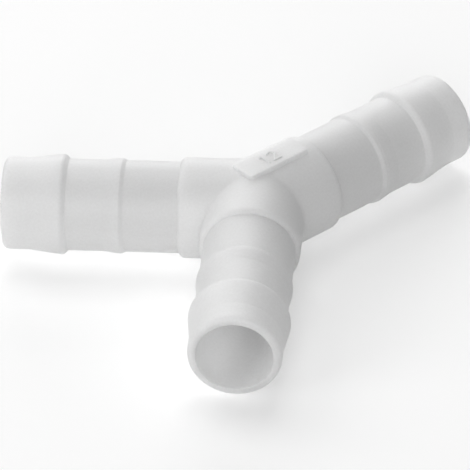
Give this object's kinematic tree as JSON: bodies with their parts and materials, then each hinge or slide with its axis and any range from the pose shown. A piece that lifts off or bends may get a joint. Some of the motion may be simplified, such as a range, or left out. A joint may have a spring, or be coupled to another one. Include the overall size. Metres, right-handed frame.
{
  "type": "tubing y connector",
  "caption": "Moulded plastic Y connector that joins a stem line of 12 mm bore tubing to two branch lines, with barbed hose tails and a raised size pad.",
  "frame": {"origin": "the point where the three waterway axes meet, at the centre of the hub", "axes": "+X out along the stem; the branches run 135 degrees to either side of it in the plane Z = 0; +Z out of the size pad"},
  "size_m": [0.0602, 0.0546, 0.0137],
  "materials": {
    "moulded_plastic": "matt natural acetal, as moulded"
  },
  "bodies": {
    "root": {"y_connector_body": "moulded_plastic"}
  },
  "joints": []
}
